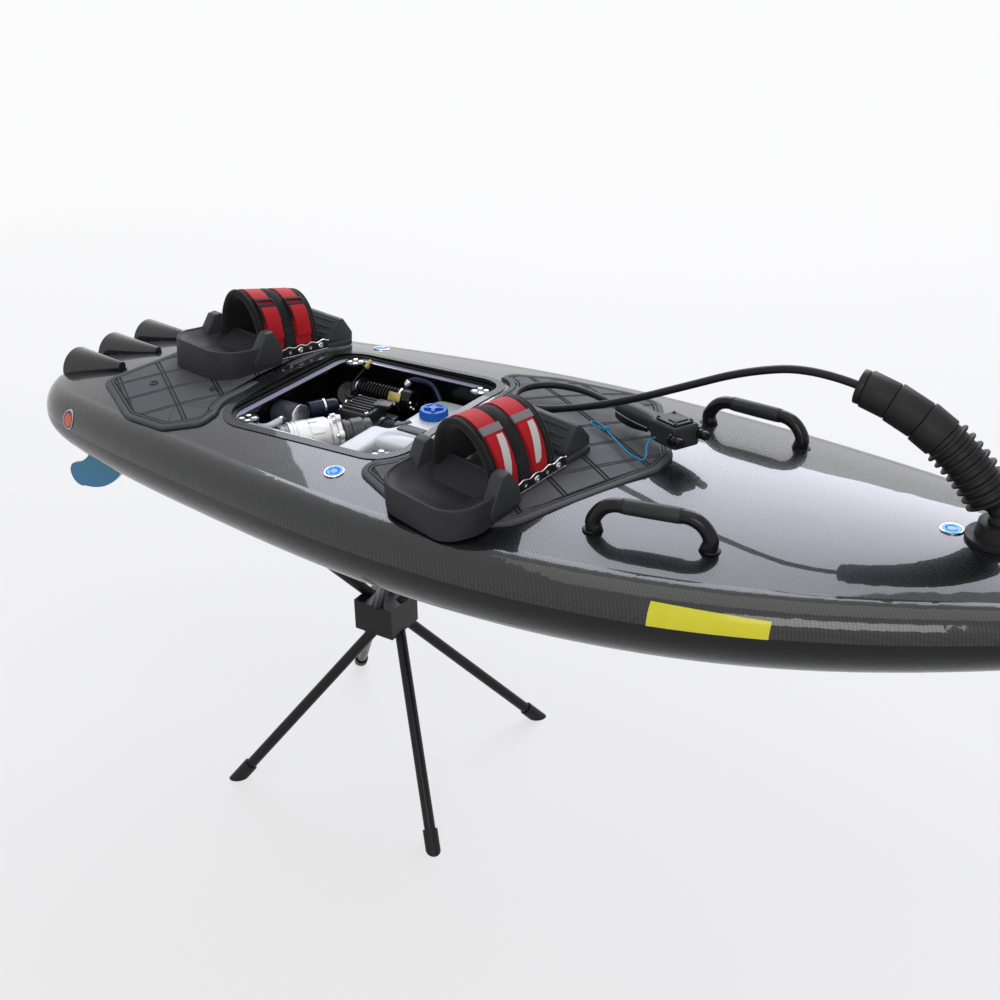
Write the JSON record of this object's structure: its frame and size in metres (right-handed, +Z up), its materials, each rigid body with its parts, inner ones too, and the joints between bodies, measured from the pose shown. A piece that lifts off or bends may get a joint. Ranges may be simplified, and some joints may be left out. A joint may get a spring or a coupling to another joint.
{
  "type": "petrol jet surfboard on a work stand",
  "caption": "Carbon jet surfboard with an open engine bay, two foot bindings, a nose handle pole with throttle and a folding work stand",
  "frame": {"origin": "on the floor under the middle of the board", "axes": "+X to the nose, +Y to port, +Z up"},
  "size_m": [1.8, 0.6512, 0.9029],
  "materials": {
    "carbon_shell": "clear gloss over twill weave",
    "black_rubber": "matt",
    "cable_rubber": "satin",
    "bright_alloy": "brushed",
    "cast_alloy": "cast",
    "dark_alloy": "satin",
    "bright_steel": "brushed",
    "black_paint": "satin",
    "silicone_pipe": "satin",
    "white_plastic": "satin",
    "blue_plastic": "gloss",
    "black_plastic": "moulded",
    "deck_pad": "embossed foam",
    "blue_fin": "honeycomb weave",
    "red_sticker": "gloss",
    "yellow_sticker": "satin",
    "blue_cord": "woven",
    "binding_foam": "matt moulded",
    "neoprene": "matt padded",
    "red_webbing": "woven"
  },
  "bodies": {
    "root": {"hull_bottom": "carbon_shell", "deck": "carbon_shell", "tail_cowls": "carbon_shell", "bay_liner": "carbon_shell", "bay_seal": "black_rubber", "latch_plates": "bright_alloy", "intake_elbow": "cast_alloy", "intake_grate": "bright_alloy", "pump_housing": "cast_alloy", "nozzle": "bright_alloy", "engine_block": "dark_alloy", "generator_housing": "cast_alloy", "generator_cap": "dark_alloy", "ribbed_pot": "black_paint", "muffler": "black_paint", "coolant_pipe": "silicone_pipe", "fuel_tank": "white_plastic", "filler_cap": "blue_plastic", "air_hose": "black_rubber", "control_box": "black_plastic", "pad_rear": "deck_pad", "pad_front": "deck_pad", "handle_starboard": "black_rubber", "handle_port": "black_rubber", "fin_starboard": "blue_fin", "fin_port": "blue_fin", "deck_fittings": "blue_plastic", "rail_disc": "red_sticker", "rail_plate": "yellow_sticker", "pole_base": "black_rubber", "stand_hub": "black_paint", "stand_feet": "black_rubber", "stand_pads": "black_rubber", "stand_tube_1": "black_paint", "stand_tube_2": "black_paint", "stand_tube_3": "black_paint", "stand_tube_4": "black_paint", "binding_base_rear": "binding_foam", "binding_arch_rear": "neoprene", "binding_straps_rear": "red_webbing", "binding_buckles_rear": "black_plastic", "binding_rail_rear": "bright_alloy", "binding_base_front": "binding_foam", "binding_arch_front": "neoprene", "binding_straps_front": "red_webbing", "binding_buckles_front": "black_plastic", "binding_rail_front": "bright_alloy"},
    "impeller": {"impeller": "bright_steel", "drive_shaft": "bright_steel", "coupling": "bright_steel"},
    "pole": {"pole_bellows": "black_rubber", "pole_sleeves": "black_rubber", "throttle_cable": "cable_rubber", "throttle_grip": "black_plastic", "throttle_knobs": "black_plastic", "throttle_trigger": "black_plastic", "lanyard": "blue_cord"}
  },
  "joints": [
    {"name": "impeller_spin", "type": "hinge", "parent": "root", "child": "impeller", "pos_m": [-0.735, 0, 0.62], "axis": [1, 0, 0], "continuous": true},
    {"name": "pole_pitch", "type": "hinge", "parent": "root", "child": "pole", "pos_m": [0.64, 0, 0.741], "axis": [0, 1, 0], "range_deg": [0, 60]}
  ]
}
